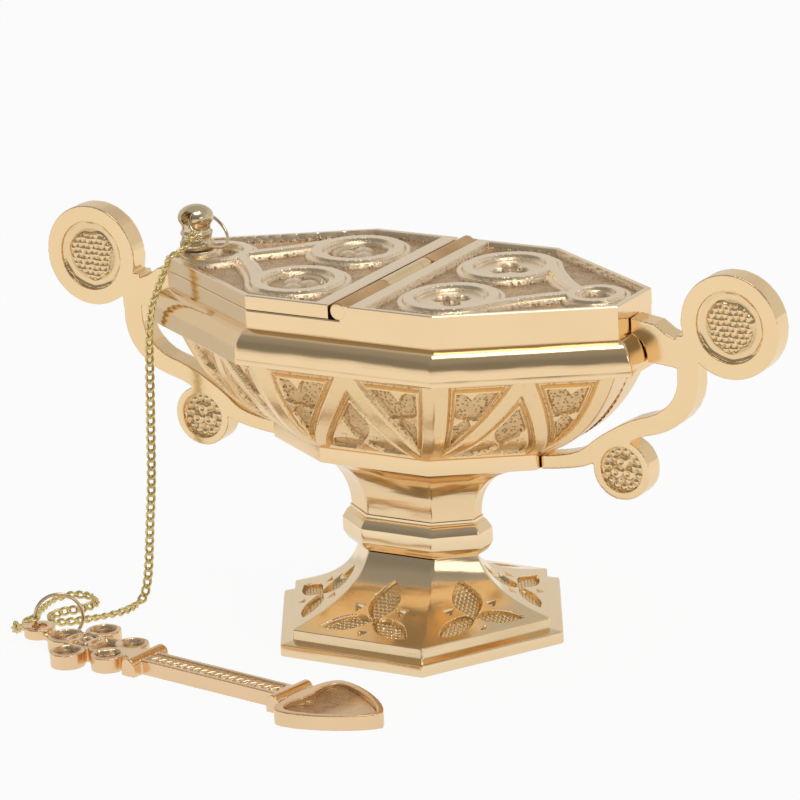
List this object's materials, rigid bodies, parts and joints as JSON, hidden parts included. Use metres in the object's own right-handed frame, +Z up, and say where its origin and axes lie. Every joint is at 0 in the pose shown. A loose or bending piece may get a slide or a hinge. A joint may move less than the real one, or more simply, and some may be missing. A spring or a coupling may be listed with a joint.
{
  "type": "incense boat",
  "caption": "Brass incense boat: octagonal bowl on a knopped foot, half lid on a hinge, scroll handles, chained spoon.",
  "frame": {"origin": "on the table under the middle of the foot", "axes": "+X along the bowl towards the fixed half of the lid, +Y away from the spoon, +Z up"},
  "size_m": [0.2074, 0.1128, 0.103],
  "materials": {
    "polished_brass": "mirror polish",
    "cast_brass": "satin casting",
    "satin_brass": "satin with sunk stippled ground",
    "aged_brass": "dark patina",
    "chain_brass": "bright curb chain",
    "spoon_brass": "polished casting",
    "steel": "plain"
  },
  "bodies": {
    "root": {"foot": "polished_brass", "knop": "polished_brass", "bowl": "polished_brass", "tie_rod": "cast_brass", "foot_washer": "steel", "foot_nut": "steel", "fixed_lid": "satin_brass", "hinge_knuckle_front": "cast_brass", "hinge_knuckle_rear": "cast_brass", "hinge_pin": "aged_brass", "left_handle": "polished_brass", "left_handle_screw": "cast_brass", "left_handle_pin": "cast_brass", "right_handle": "polished_brass", "right_handle_screw": "cast_brass", "right_handle_pin": "cast_brass", "chain_lying": "chain_brass", "chain_end_link": "chain_brass"},
    "lid": {"opening_lid": "satin_brass", "hinge_knuckle_middle": "cast_brass", "knob": "aged_brass", "chain_top": "chain_brass"},
    "knob_ring": {"knob_ring": "aged_brass"},
    "chain": {"chain_hanging": "chain_brass"},
    "spoon": {"spoon": "spoon_brass"},
    "spoon_ring": {"spoon_ring": "aged_brass"}
  },
  "joints": [
    {"name": "lid_hinge", "type": "hinge", "parent": "root", "child": "lid", "pos_m": [0, 0, 0.0901], "axis": [0, 1, 0], "range_deg": [0, 110], "deforming": ["chain_top", "chain_hanging", "chain_lying"]},
    {"name": "knob_ring_swing", "type": "hinge", "parent": "lid", "child": "knob_ring", "pos_m": [-0.06, 0, 0.1003], "axis": [0, -1, 0], "range_deg": [0, 60]},
    {"name": "chain_follow", "type": "hinge", "parent": "root", "child": "chain", "pos_m": [0.04827, 0.05897, 0.01622], "axis": [-0.2834, 0.8554, 0.4336], "range_deg": [0, 37.51]},
    {"name": "spoon_turn", "type": "hinge", "parent": "root", "child": "spoon", "pos_m": [-0.082, -0.0495, 0], "axis": [0, 0, 1], "range_deg": [-35, 3]},
    {"name": "spoon_ring_turn", "type": "hinge", "parent": "root", "child": "spoon_ring", "pos_m": [-0.082, -0.0495, 0], "axis": [0, 0, 1], "range_deg": [0, 20]}
  ],
  "couplings": [
    {"joint": "chain_follow", "follows": "lid_hinge", "ratio": 0.34099}
  ]
}
